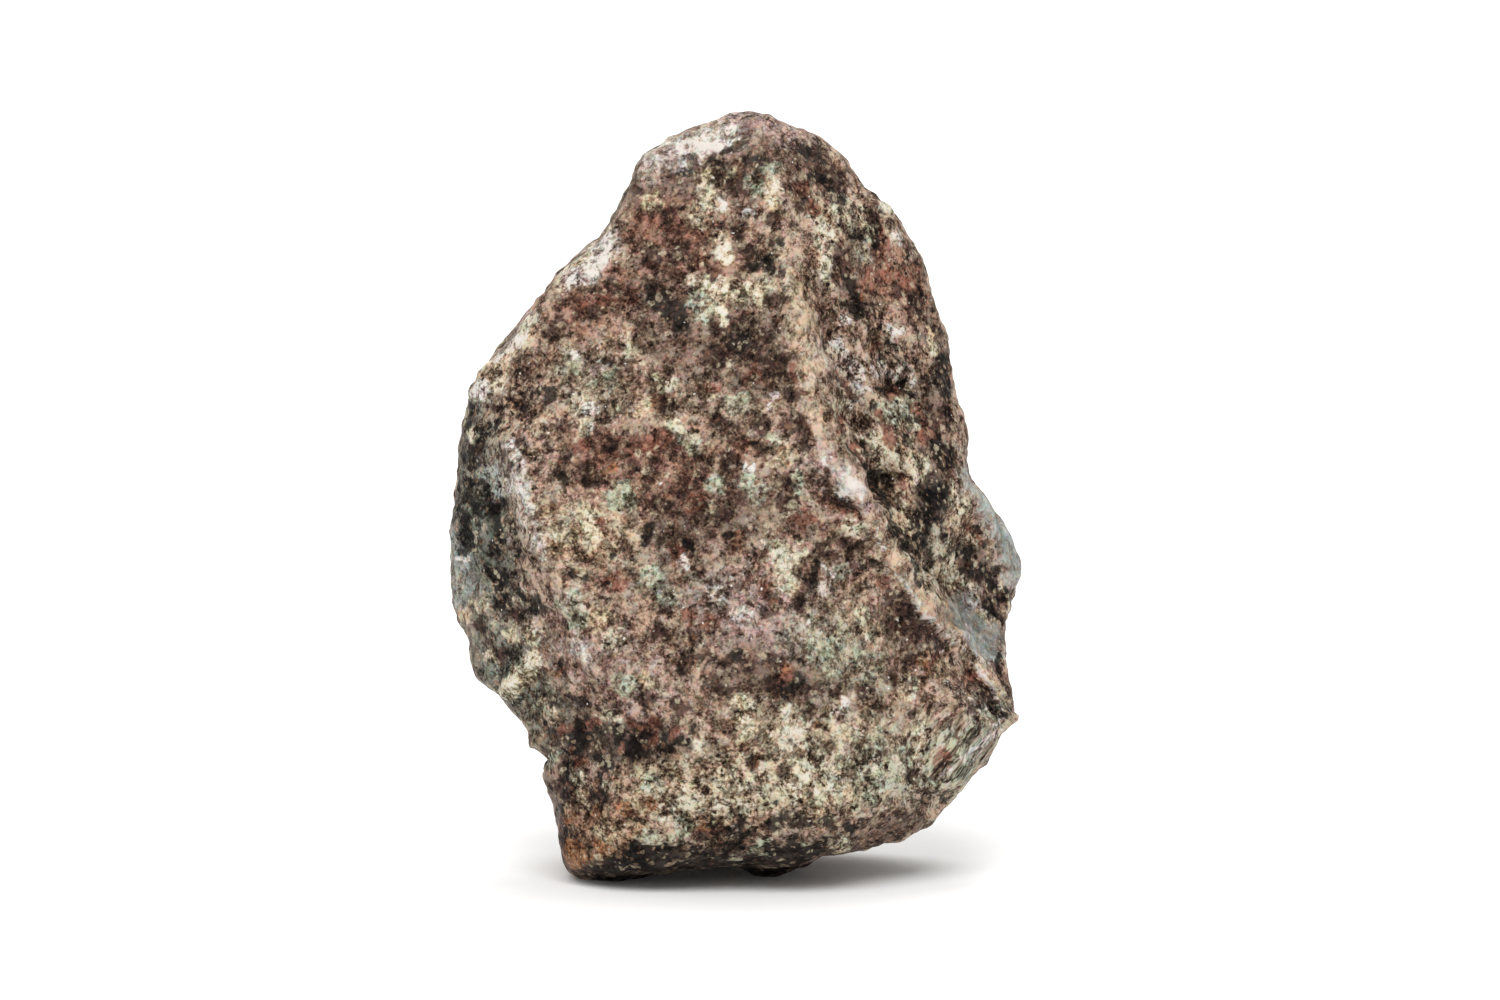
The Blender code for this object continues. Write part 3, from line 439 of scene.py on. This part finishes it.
# Long marks of the front, as (x, z, x, z, half width).
STROKES = [
    ("black", [
        (6.1, 31.3, 6.4, 29.6, 0.38), (3.7, 38.1, 4.3, 37.9, 0.25), (4.9, 35.9, 5.4, 35.5, 0.25),
        (8.1, 28.1, 8.3, 27.7, 0.22), (8.4, 25.7, 9.2, 25.1, 0.25), (7.6, 25.4, 8.0, 25.1, 0.15),
        (10.7, 27.0, 11.2, 25.4, 0.4), (10.5, 23.0, 10.9, 21.6, 0.4), (7.3, 21.1, 8.1, 20.4, 0.35),
        (7.6, 20.2, 8.1, 19.3, 0.2), (9.3, 18.9, 9.0, 18.4, 0.25), (9.6, 17.4, 10.2, 16.6, 0.25),
        (9.2, 16.3, 9.7, 15.2, 0.16), (12.0, 16.9, 12.7, 15.6, 0.38), (13.0, 15.9, 13.6, 15.2, 0.4),
        (13.3, 14.4, 13.8, 13.2, 0.3), (13.9, 11.6, 13.9, 10.6, 0.2), (12.8, 9.7, 13.4, 9.3, 0.14),
        # The thin strokes from (6.0, 22.6) down to (10.3, 14.8) trace the crack along the ridge: painted
        # shade in it.
        (6.0, 22.6, 6.9, 21.2, 0.14), (7.0, 20.8, 7.9, 19.4, 0.16), (8.0, 19.0, 8.8, 17.6, 0.16),
        (8.9, 17.2, 9.5, 16.1, 0.12), (9.8, 15.6, 10.3, 14.8, 0.1), (13.6, 8.6, 12.6, 9.0, 0.1),
        (-12.8, 19.6, -12.4, 17.2, 0.3), (-13.0, 15.9, -12.4, 14.4, 0.28),
        (-14.0, 22.6, -13.6, 21.6, 0.35), (-14.3, 18.4, -13.9, 17.2, 0.35),
        (-11.2, 14.6, -10.2, 14.2, 0.35), (-10.4, 25.4, -9.6, 25.0, 0.3), (-7.4, 5.2, -7.0, 3.6, 0.2),
        (-8.6, 5.6, -9.2, 3.6, 0.25), (-5.4, 0.9, -2.2, 1.4, 0.3), (1.4, 1.4, 4.4, 1.2, 0.4),
        (-13.6, 20.6, -13.2, 20.2, 0.25),
    ]),
    ("red", [
        (7.7, 24.3, 8.2, 22.4, 0.32), (5.6, 24.0, 5.4, 23.2, 0.2), (6.2, 22.6, 6.6, 21.8, 0.15),
        (5.0, 19.4, 6.3, 18.8, 0.25), (5.3, 26.2, 6.0, 25.2, 0.28), (9.6, 24.6, 9.9, 22.8, 0.3),
        (8.7, 20.9, 9.0, 20.0, 0.2), (12.2, 18.4, 12.8, 17.2, 0.25), (12.2, 10.4, 12.9, 9.8, 0.3),
        (7.5, 34.0, 7.7, 32.4, 0.35), (3.4, 36.2, 4.3, 34.8, 0.4), (3.0, 26.6, 3.6, 25.4, 0.25),
    ]),
    ("tan", [
        (9.4, 17.2, 11.2, 13.4, 0.1), (11.2, 13.4, 12.6, 11.0, 0.1), (12.6, 11.0, 13.9, 9.4, 0.1),
        (8.1, 19.1, 9.2, 17.2, 0.1), (9.9, 28.9, 10.6, 27.2, 0.22),
    ]),
    ("umber", [
        (7.0, 35.2, 7.1, 33.6, 0.3), (5.6, 32.6, 5.9, 31.6, 0.4), (8.3, 31.2, 8.5, 30.4, 0.3),
        (9.5, 30.2, 9.8, 29.0, 0.3), (4.6, 37.6, 5.2, 36.4, 0.35), (8.4, 14.4, 9.6, 12.8, 0.5),
        (-1.0, 37.7, 0.5, 38.5, 0.22), (5.1, 26.3, 6.0, 25.2, 0.3), (-7.3, 4.3, -7.9, 2.8, 0.22),
        (5.2, 19.5, 6.4, 18.9, 0.22), (-12.0, 9.5, -10.5, 10.1, 0.2), (4.2, 37.6, 5.4, 36.2, 0.3),
        (8.2, 14.6, 8.6, 14.2, 0.3), (9.6, 17.0, 10.2, 16.2, 0.3),
    ]),
    ("cream", [
        (8.6, 20.2, 8.9, 19.2, 0.18), (11.3, 20.4, 11.8, 19.1, 0.24), (12.2, 18.2, 12.7, 17.3, 0.15),
        (12.8, 13.8, 13.6, 13.2, 0.18), (7.2, 22.8, 7.7, 21.9, 0.22), (10.0, 15.8, 10.7, 14.4, 0.15),
        (4.9, 32.6, 5.0, 31.6, 0.2), (4.2, 33.2, 4.7, 31.4, 0.2), (6.4, 35.4, 6.6, 34.2, 0.22),
        (14.0, 15.2, 14.4, 13.8, 0.2), (-8.2, 24.8, -8.0, 23.4, 0.5), (-0.9, 36.3, 0.0, 37.0, 0.18),
        (4.3, 32.4, 5.1, 31.0, 0.25), (11.4, 20.3, 11.9, 19.2, 0.22), (12.8, 13.9, 13.8, 13.1, 0.22),
        (-8.2, 4.9, -7.8, 3.2, 0.22), (-8.0, 32.6, -6.8, 33.6, 0.4), (-9.6, 31.3, -8.2, 32.4, 0.3),
        (8.6, 7.1, 8.5, 5.9, 0.2), (-12.0, 27.8, -13.2, 26.9, 0.3), (8.7, 19.9, 8.9, 18.9, 0.14),
        (11.8, 18.0, 12.4, 17.3, 0.15),
    ]),
    ("lilac", [
        (5.6, 21.2, 6.6, 20.1, 0.35), (-11.7, 22.2, -11.2, 21.0, 0.2), (-11.6, 20.6, -10.6, 19.6, 0.3),
        (-10.6, 17.6, -10.0, 16.6, 0.2), (5.3, 27.9, 6.8, 25.6, 0.35), (4.6, 22.0, 5.6, 20.8, 0.12),
        (6.9, 18.9, 7.7, 17.2, 0.1), (8.2, 16.2, 9.6, 14.0, 0.12), (9.9, 13.7, 11.4, 12.1, 0.12),
        (11.6, 12.0, 13.8, 9.2, 0.12), (12.2, 10.4, 13.9, 8.8, 0.08), (11.4, 9.6, 13.8, 8.4, 0.07),
        (12.6, 7.4, 14.0, 8.2, 0.08), (11.4, 5.4, 13.8, 7.9, 0.08), (12.2, 5.8, 14.0, 7.7, 0.07),
        (10.6, 4.8, 12.4, 6.6, 0.08),
    ]),
    # White lines of pale grains; those on the crown and the upper left rim are partly painted light from
    # above.
    ("white", [
        (9.3, 21.4, 9.6, 20.8, 0.12), (5.4, 20.0, 6.2, 20.2, 0.2), (5.6, 28.7, 6.0, 29.0, 0.15),
        (8.0, 28.6, 8.7, 28.7, 0.1), (7.8, 26.7, 8.4, 26.3, 0.1), (4.9, 15.9, 5.1, 15.7, 0.2),
        (-14.7, 16.5, -14.1, 16.5, 0.12), (-3.8, 38.4, -0.6, 38.7, 0.3), (-11.6, 22.4, -11.2, 21.6, 0.13),
        (0.4, 21.5, 1.1, 21.2, 0.1), (-2.9, 16.6, -2.5, 16.1, 0.1), (-6.7, 33.6, -7.6, 32.5, 0.25),
    ]),
    ("ivory", [
        (-11.9, 9.6, -10.5, 11.3, 0.6), (0.3, 9.4, 0.5, 7.6, 0.45), (-1.8, 31.0, 1.5, 30.6, 0.45),
        (-1.2, 30.4, -0.9, 29.0, 0.4), (1.6, 36.0, 1.9, 35.2, 0.4), (-0.8, 33.6, -0.6, 32.3, 0.3),
        (-8.1, 18.7, -7.6, 18.0, 0.5),
    ]),
]

# An area fades out from 0.3 to 1.4 of its half width. Ragged edges eat into a spot, so each is drawn larger.
# A mark of the front is kept off the back by KEPT_OFF, and the other way round.
SPOT_GROWTH = 1.15
KEPT_OFF = 3
for name, (*stroke, reach, strength) in AREAS:
    paint(name, strength * front * smooth(1.4, 0.3, from_stroke(seen, stroke) / reach))
for name, spots in SPOTS:
    for x, z, reach in spots:
        away = np.hypot(seen[:, 0] - x, seen[:, 1] - z) / (SPOT_GROWTH * reach)
        mark(name, 1 - away - KEPT_OFF * (1 - front))
for name, strokes in STROKES:
    for *stroke, reach in strokes:
        mark(name, 1 - from_stroke(seen, stroke) / reach - KEPT_OFF * (1 - front))

# Behind, where the photograph doesn't look, the same stains and clots lie at random.
# First the stains, as (stain, how strong, size, seed, which side of the lumps it lies on).
BACK_AREAS = [
    ("umber", 0.8, 4.5, 21, 1), ("cream", 0.4, 4.5, 21, -1), ("red", 0.75, 5.5, 22, 1),
    ("mauve", 0.7, 5.5, 22, -1), ("slate", 0.85, 8.0, 23, 1), ("tan", 0.4, 4.0, 24, 1),
    ("black", 0.75, 3.2, 25, 1), ("sage", 0.5, 3.2, 25, -1), ("rust", 0.5, 4.0, 26, 1),
    ("lilac", 0.4, 4.0, 27, 1),
]
for name, strength, size, seed, side in BACK_AREAS:
    paint(name, strength * (1 - front) * smooth(0.12, 0.42, side * lumpy(size, 4, seed)))

# Then the clots, as (stain, how many, least radius, greatest radius).
BACK_SPOTS = [
    ("cream", 60, 0.3, 0.7), ("sage", 50, 0.35, 0.7), ("tan", 40, 0.3, 0.6), ("red", 90, 0.35, 0.7),
    ("rust", 30, 0.2, 0.4), ("umber", 200, 0.3, 0.65), ("black", 90, 0.25, 0.65), ("lilac", 30, 0.3, 0.6),
    ("white", 30, 0.12, 0.25),
]
rng = np.random.default_rng(7)
ragged_places = places + ragged
for name, many, least, most in BACK_SPOTS:
    centres = places[rng.integers(len(places), size=many)]
    for centre, reach in zip(centres, rng.uniform(least, most, many)):
        away = np.linalg.norm(ragged_places - centre, axis=1) / reach
        mark(name, 1 - away - KEPT_OFF * front)

# Where it broke last and is still rough, as (x, z, x, z, half width).
FRESH = [
    (7.0, 33.0, 8.5, 26.0, 3.0), (8.5, 26.0, 9.5, 17.0, 3.0), (12.0, 19.0, 13.4, 12.0, 2.4),
    (-13.4, 25.0, -13.0, 9.0, 2.4), (-8.0, 3.0, 8.0, 3.0, 2.6), (12.6, 9.0, 10.0, 4.0, 1.8),
]

# Where hands and wind have rubbed it smooth, as (x, z, x, z, half width, how much).
RUBBED = [
    (-4.4, 38.0, 1.0, 38.8, 1.2, 0.7), (2.5, 33.0, 3.0, 30.0, 0.5, 0.5), (3.2, 30.0, 4.6, 26.5, 0.7, 0.5),
    (3.6, 25.0, 4.8, 22.4, 0.4, 0.5), (5.4, 21.6, 6.4, 20.1, 0.6, 0.8), (8.1, 16.3, 9.8, 13.8, 0.3, 0.4),
    (9.8, 13.8, 13.9, 9.4, 0.3, 0.4), (11.6, 13.8, 13.2, 12.2, 1.0, 1.0), (12.6, 21.0, 14.4, 17.6, 0.9, 1.0),
    (14.4, 17.6, 15.2, 15.4, 1.0, 1.0), (-11.9, 22.4, -10.0, 16.5, 0.7, 0.4),
    (-14.4, 16.4, -13.4, 11.6, 0.9, 0.6), (-9.4, 12.2, -6.6, 10.4, 1.4, 0.5),
]

# From ROUGHEST at a fresh break, through RUBBED_OVERALL, to 1 where it is quite smooth. Peaks are rubbed
# by up to RUBBED_PEAKS.
RUBBED_OVERALL = 0.28
RUBBED_PEAKS = 0.45
FRESHER = 0.65
ROUGHEST = -0.45
rubbed = np.full(len(places), RUBBED_OVERALL)
for *stroke, reach in FRESH:
    rubbed -= FRESHER * front * smooth(1.3, 0.7, from_stroke(seen, stroke) / reach)
rubbed = np.maximum(rubbed, ROUGHEST)
for *stroke, reach, strength in RUBBED:
    rubbed = np.maximum(rubbed, strength * front * smooth(1.3, 0.5, from_stroke(seen, stroke) / reach))
rubbed = np.maximum(rubbed, RUBBED_PEAKS * smooth(1.4, 2.8, -hollow))

# Pale clots are hard and stand out, in mm, and dark ones have weathered back. The foot stays on the table.
PROUD = 0.05
SUNK = -0.06
pale = clot_stain.mean(axis=1) > stain.mean(axis=1)
raised = smooth(-0.2, 0.4, clot) * np.where(pale, PROUD, SUNK) * (1 - rubbed)
places += outward * raised[:, None]
places[:, 2] = np.maximum(places[:, 2], 0)
mesh.vertices.foreach_set("co", (places * MM).astype(np.float32).ravel())
mesh.update()
mesh.shade_smooth()

# The mesh carries the marks to the material, one value at each of its points.
opaque = np.ones(len(places))
for name, kind, field, values in (
    ("stain", "FLOAT_COLOR", "color", np.column_stack([stain, opaque])),
    ("clot stain", "FLOAT_COLOR", "color", np.column_stack([clot_stain, opaque])),
    ("clot", "FLOAT", "value", clot),
    ("hollow", "FLOAT", "value", hollow),
    ("rubbed", "FLOAT", "value", rubbed),
    ("grain place", "FLOAT_VECTOR", "vector", grain_place),
):
    layer = mesh.attributes.new(name, kind, "POINT")
    layer.data.foreach_set(field, values.astype(np.float32).ravel())

material = bpy.data.materials.new("weathered chondrite")
material.use_nodes = True
tree = material.node_tree
tree.nodes.clear()


def node(kind, settings=None, inputs=None, output=0):
    """Adds a node with its settings and its inputs by name or number, and gives one output, or the node."""
    made = tree.nodes.new("ShaderNode" + kind)
    for name, value in (settings or {}).items():
        setattr(made, name, value)
    for name, value in (inputs or {}).items():
        if isinstance(value, bpy.types.NodeSocket):
            tree.links.new(value, made.inputs[name])
        else:
            made.inputs[name].default_value = value
    return made.outputs[output] if made.outputs and output is not None else made


place_mm = node("Attribute", {"attribute_name": "grain place"}, output=1)
stained = node("Attribute", {"attribute_name": "stain"})
clotted = node("Attribute", {"attribute_name": "clot stain"})
inside = node("Attribute", {"attribute_name": "clot"}, output=2)
hollows = node("Attribute", {"attribute_name": "hollow"}, output=2)
rubs = node("Attribute", {"attribute_name": "rubbed"}, output=2)

# How strong the grain is: 0.8 on most of the stone, 1.3 where it is fresh and 0.3 where it is quite smooth.
SMOOTHED = -0.7
gritty = node("Math", {"operation": "MULTIPLY_ADD"}, {0: rubs, 1: SMOOTHED, 2: 1.0})

# Settings that most of the patterns share: a noise with two finer octaves, a soft step, and a colour mix.
GRAINY = {"Detail": 2, "Roughness": 0.6}
SOFT_STEP = {"interpolation_type": "SMOOTHSTEP"}
IN_COLOUR = {"data_type": "RGBA"}

# The clots: single grains, down to 0.1 mm, break up their edges, by up to nearly a clot's whole radius.
EDGE_SIZE = 0.45
EDGE_BREAK = 0.95
CLOT_HIDES = 0.9
edge = node("TexNoise", inputs={"Vector": place_mm, "Scale": 1 / EDGE_SIZE, "Detail": 3, "Roughness": 0.75})
edge = node("Math", {"operation": "MULTIPLY_ADD"}, {0: edge, 1: 2 * EDGE_BREAK, 2: -EDGE_BREAK})
inside = node("Math", {"operation": "ADD"}, {0: inside, 1: edge})
inside = node("MapRange", SOFT_STEP, {0: inside, 1: -0.2, 2: 0.35, 3: 0.0, 4: CLOT_HIDES})
colour = node("Mix", IN_COLOUR, {0: inside, 6: stained, 7: clotted}, 2)

# Crystals aren't round, so the cells below are bent by up to 0.15 mm.
BENT = 0.3
bent = node("TexNoise", inputs={"Vector": place_mm, "Scale": 1 / BENT, "Detail": 1}, output=1)
bent = node("VectorMath", {"operation": "MULTIPLY_ADD"}, {0: bent, 1: (BENT, BENT, BENT), 2: place_mm})

# The mineral grains: each is darker or paler than the next. Clusters of them are 0.7 to 1.5 mm across, and
# the single grains 0.15 to 0.35 mm, as (size, strength).
clusters = 0
fine = 0
for size, strength in ((1.5, 0.55), (0.7, 0.45), (0.33, 0.38), (0.16, 0.36)):
    aside = node("VectorMath", {"operation": "ADD"}, {0: place_mm, 1: (size * 50, 9, 4)})
    grains = node("TexNoise", inputs={"Vector": aside, "Scale": 1 / size, **GRAINY})
    grains = node("MapRange", SOFT_STEP, {0: grains, 1: 0.43, 2: 0.58, 3: -strength, 4: strength})
    if size > 0.5:
        clusters = node("Math", {"operation": "ADD"}, {0: clusters, 1: grains})
    else:
        fine = node("Math", {"operation": "ADD"}, {0: fine, 1: grains})

# Crystals of 0.3 and 0.12 mm, each of one tone right to its edge.
for size, strength in ((0.3, 0.35), (0.12, 0.6)):
    cells = node("TexVoronoi", inputs={"Vector": bent, "Scale": 1 / size}, output=1)
    cells = node("SeparateColor", inputs={0: cells})
    cells = node("Math", {"operation": "MULTIPLY_ADD"}, {0: cells, 1: 2 * strength, 2: -strength})
    fine = node("Math", {"operation": "ADD"}, {0: fine, 1: cells})

# Specks of black ore and of pale feldspar, 0.2 to 0.4 mm across, lie between them, where a noise of this
# size rises over its threshold.
for size, threshold, strength in ((0.5, 0.6, -1.1), (0.4, 0.61, 0.6)):
    aside = node("VectorMath", {"operation": "ADD"}, {0: place_mm, 1: (size * 100, 7, 3)})
    specks = node("TexNoise", inputs={"Vector": aside, "Scale": 1 / size, **GRAINY})
    specks = node("MapRange", inputs={0: specks, 1: threshold, 2: threshold + 0.03, 3: 0.0, 4: strength})
    fine = node("Math", {"operation": "ADD"}, {0: fine, 1: specks})

# Rubbed places are smooth and even, and fresh ones the roughest. Hollows are darker, from dirt and painted
# shade, and the palest grains are dull.
HOLLOW_DIRT_AND_SHADE = -0.16
PALEST_TONE = 1.6
DULLED = -0.3
OVERALL_TONE = 0.13
calm = node("Math", {"operation": "MINIMUM"}, {0: gritty, 1: 1.0})
clusters = node("Math", {"operation": "MULTIPLY"}, {0: clusters, 1: calm})
tone = node("Math", {"operation": "MULTIPLY"}, {0: fine, 1: gritty})
tone = node("Math", {"operation": "ADD"}, {0: tone, 1: clusters})
tone = node("Math", {"operation": "MULTIPLY_ADD"}, {0: hollows, 1: HOLLOW_DIRT_AND_SHADE, 2: tone})
tone = node("Math", {"operation": "MINIMUM"}, {0: tone, 1: PALEST_TONE})
dulled = node("Math", {"operation": "MULTIPLY_ADD"}, {0: tone, 1: DULLED, 2: 1.0})
tone = node("Math", {"operation": "MULTIPLY_ADD"}, {0: tone, 1: dulled, 2: OVERALL_TONE})

# Its hue: iron has rusted between the grains, and some minerals are greenish grey, in patches of 0.6 and
# 0.2 mm.
GREENISH = (0.93, 0.99, 0.94)
ROSY = (1.09, 1.01, 1.05)
tint = (1, 1, 1)
for size in (0.6, 0.2):
    hue = node("TexNoise", inputs={"Vector": place_mm, "Scale": 1 / size, **GRAINY}, output=1)
    hue = node("MapRange", {"data_type": "FLOAT_VECTOR", **SOFT_STEP},
               {6: hue, 7: (0.44, 0.44, 0.44), 8: (0.56, 0.56, 0.56), 9: GREENISH, 10: ROSY}, 1)
    tint = node("VectorMath", {"operation": "MULTIPLY"}, {0: hue, 1: tint})
colour = node("VectorMath", {"operation": "MULTIPLY"}, {0: colour, 1: tint})

# Crumbs of rusty and of tan grains, 0.1 to 0.5 mm across, also lie in the dark clots, as (size of a cell,
# chance that a cell has none, how much a crumb covers). Each is smaller than its cell by up to SHRUNK.
SHRUNK = 0.4
RUSTY_CRUMB = linear("#64402f")
TAN_CRUMB = linear("#968a73")
for size, none, share in ((0.5, 0.7, 0.5), (0.28, 0.66, 0.55)):
    cell = node("TexVoronoi", inputs={"Vector": bent, "Scale": 1 / size}, output=None).outputs
    chance = node("SeparateColor", inputs={0: cell["Color"]}, output=None).outputs
    near = node("Math", {"operation": "MULTIPLY_ADD"}, {0: chance[0], 1: SHRUNK, 2: cell["Distance"]})
    crumb = node("MapRange", inputs={0: near, 1: 0.65, 2: 0.5, 3: 0.0, 4: share})
    chosen = node("Math", {"operation": "GREATER_THAN"}, {0: chance[1], 1: none})
    crumb = node("Math", {"operation": "MULTIPLY"}, {0: crumb, 1: chosen})
    kind = node("Mix", IN_COLOUR, {0: chance[2], 6: RUSTY_CRUMB, 7: TAN_CRUMB}, 2)
    colour = node("Mix", IN_COLOUR, {0: crumb, 6: colour, 7: kind}, 2)

# Dark grains keep more of the rust's red, and the palest are dull, as (channel, depth, palest value).
colour = node("SeparateColor", inputs={0: colour}, output=None)
channels = []
for channel, depth, palest in ((0, 0.9, 0.66), (1, 1.02, 0.61), (2, 1.08, 0.56)):
    deepened = node("Math", {"operation": "MULTIPLY"}, {0: tone, 1: depth})
    deepened = node("Math", {"operation": "EXPONENT"}, {0: deepened})
    deepened = node("Math", {"operation": "MULTIPLY"}, {0: colour.outputs[channel], 1: deepened})
    channels.append(node("Math", {"operation": "SMOOTH_MIN"}, {0: deepened, 1: palest, 2: 0.3}))
colour = node("CombineColor", inputs={0: channels[0], 1: channels[1], 2: channels[2]})

# Flecks of bare metal, 0.1 mm across, lie in one of eight cells of 0.5 mm and are painted near white, which
# is partly a painted glint. A fleck's edge runs between two shares of its cell.
FLECK_CELL = 0.5
FLECK_EDGE = (0.14, 0.07)
NO_FLECK = 0.88
METAL_AND_GLINT = linear("#e2ddd6")
cell = node("TexVoronoi", inputs={"Vector": bent, "Scale": 1 / FLECK_CELL}, output=None).outputs
fleck = node("MapRange", inputs={0: cell["Distance"], 1: FLECK_EDGE[0], 2: FLECK_EDGE[1], 3: 0.0, 4: 0.8})
chance = node("SeparateColor", inputs={0: cell["Color"]})
chosen = node("Math", {"operation": "GREATER_THAN"}, {0: chance, 1: NO_FLECK})
fleck = node("Math", {"operation": "MULTIPLY"}, {0: fleck, 1: chosen})
colour = node("Mix", IN_COLOUR, {0: fleck, 6: colour, 7: METAL_AND_GLINT}, 2)

# Stone worn to satin is rougher than bare metal. Single grains stand out by 0.06 mm, finer than the mesh.
STONE_ROUGHNESS = 0.5
METAL_ROUGHNESS = 0.3
GRAIN_HEIGHT = 0.06 * MM
gloss = node("MapRange", inputs={0: fleck, 3: STONE_ROUGHNESS, 4: METAL_ROUGHNESS})
bump = node("Bump", inputs={"Strength": 0.5, "Distance": GRAIN_HEIGHT, "Height": tone})
surface = node("BsdfPrincipled", inputs={
    "Base Color": colour, "Roughness": gloss, "IOR": 1.6, "Specular IOR Level": 0.06, "Normal": bump})
node("OutputMaterial", inputs={"Surface": surface})
mesh.materials.clear()
mesh.materials.append(material)
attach(stone, "root")
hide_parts("meteorite")

# The floor
# A sheet of white card, large enough to run on under the whole view.
bpy.ops.object.select_all(action="DESELECT")
bpy.ops.mesh.primitive_plane_add(size=8, location=(0, 0, 0))
floor = bpy.context.object
floor.name = "floor"
card = bpy.data.materials.new("white card")
card.use_nodes = True
card_surface = card.node_tree.nodes["Principled BSDF"]
card_surface.inputs["Base Color"].default_value = linear("#fcfcfc")
card_surface.inputs["Roughness"].default_value = 0.9
card_surface.inputs["Specular IOR Level"].default_value = 0.1
floor.data.materials.append(card)

# The light
# A white studio, a large sheet of diffuser above and behind, and a second one above the camera.
# Each diffuser is given as (name, degrees up, degrees round, strength), and looks 40 degrees wide.
world = bpy.data.worlds.new("white studio")
world.use_nodes = True
world.node_tree.nodes["Background"].inputs["Color"].default_value = (1, 1, 1, 1)
world.node_tree.nodes["Background"].inputs["Strength"].default_value = 0.6
bpy.context.scene.world = world
bpy.context.scene.view_settings.view_transform = "Standard"
DIFFUSERS = [("back diffuser", 66, 174, 1.2), ("front diffuser", 52, -6, 2.0)]
for name, height, turn, strength in DIFFUSERS:
    bpy.ops.object.light_add(type="SUN", location=(0, 0, 0.5),
                             rotation=(math.radians(90 - height), 0, math.radians(turn)))
    diffuser = bpy.context.object
    diffuser.name = name
    diffuser.data.energy = strength
    diffuser.data.angle = math.radians(40)
